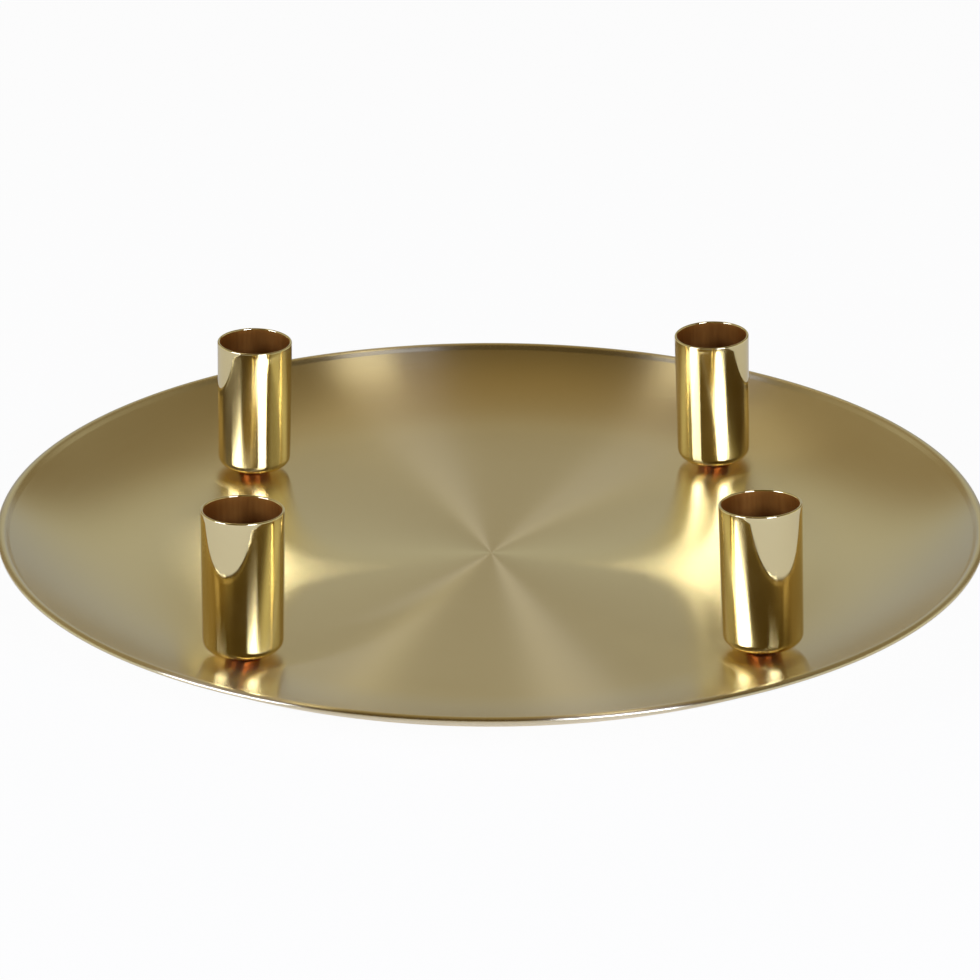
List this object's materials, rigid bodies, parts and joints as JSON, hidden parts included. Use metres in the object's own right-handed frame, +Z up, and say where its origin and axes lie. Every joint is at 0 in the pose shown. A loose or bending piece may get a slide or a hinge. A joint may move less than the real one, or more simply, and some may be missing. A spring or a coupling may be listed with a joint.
{
  "type": "advent candle holder",
  "caption": "Wide shallow brass dish with a curved wall and a narrow lip, carrying taper candle cups that stand on magnets and lift off.",
  "frame": {"origin": "on the table, under the middle of the dish", "axes": "+Z up; -Y towards the viewer in the picture, +X to the viewer's right"},
  "size_m": [0.3, 0.3, 0.0487],
  "materials": {
    "satin_brass": "brass plating on sheet steel, brushed in circles to a satin",
    "polished_brass": "mirror-polished outside, dull and dark inside",
    "nickel": "nickel-plated magnet",
    "felt": "dark brown felt"
  },
  "bodies": {
    "dish": {"dish": "satin_brass", "felt_pad_1": "felt", "felt_pad_2": "felt", "felt_pad_3": "felt", "felt_pad_4": "felt"},
    "front_left_cup": {"cup_front_left": "polished_brass", "magnet_front_left": "nickel"},
    "front_right_cup": {"cup_front_right": "polished_brass", "magnet_front_right": "nickel"},
    "rear_right_cup": {"cup_rear_right": "polished_brass", "magnet_rear_right": "nickel"},
    "rear_left_cup": {"cup_rear_left": "polished_brass", "magnet_rear_left": "nickel"}
  },
  "joints": [
    {"name": "front_left_lift", "type": "slide", "parent": "dish", "child": "front_left_cup", "axis": [0.0231, 0.0243, 0.9994], "range_m": [0, 0.06]},
    {"name": "front_right_lift", "type": "slide", "parent": "dish", "child": "front_right_cup", "axis": [-0.048, 0.0437, 0.9979], "range_m": [0, 0.06]},
    {"name": "rear_right_lift", "type": "slide", "parent": "dish", "child": "rear_right_cup", "axis": [-0.0429, -0.0451, 0.9981], "range_m": [0, 0.06]},
    {"name": "rear_left_lift", "type": "slide", "parent": "dish", "child": "rear_left_cup", "axis": [0.0318, -0.0287, 0.9991], "range_m": [0, 0.06]}
  ]
}
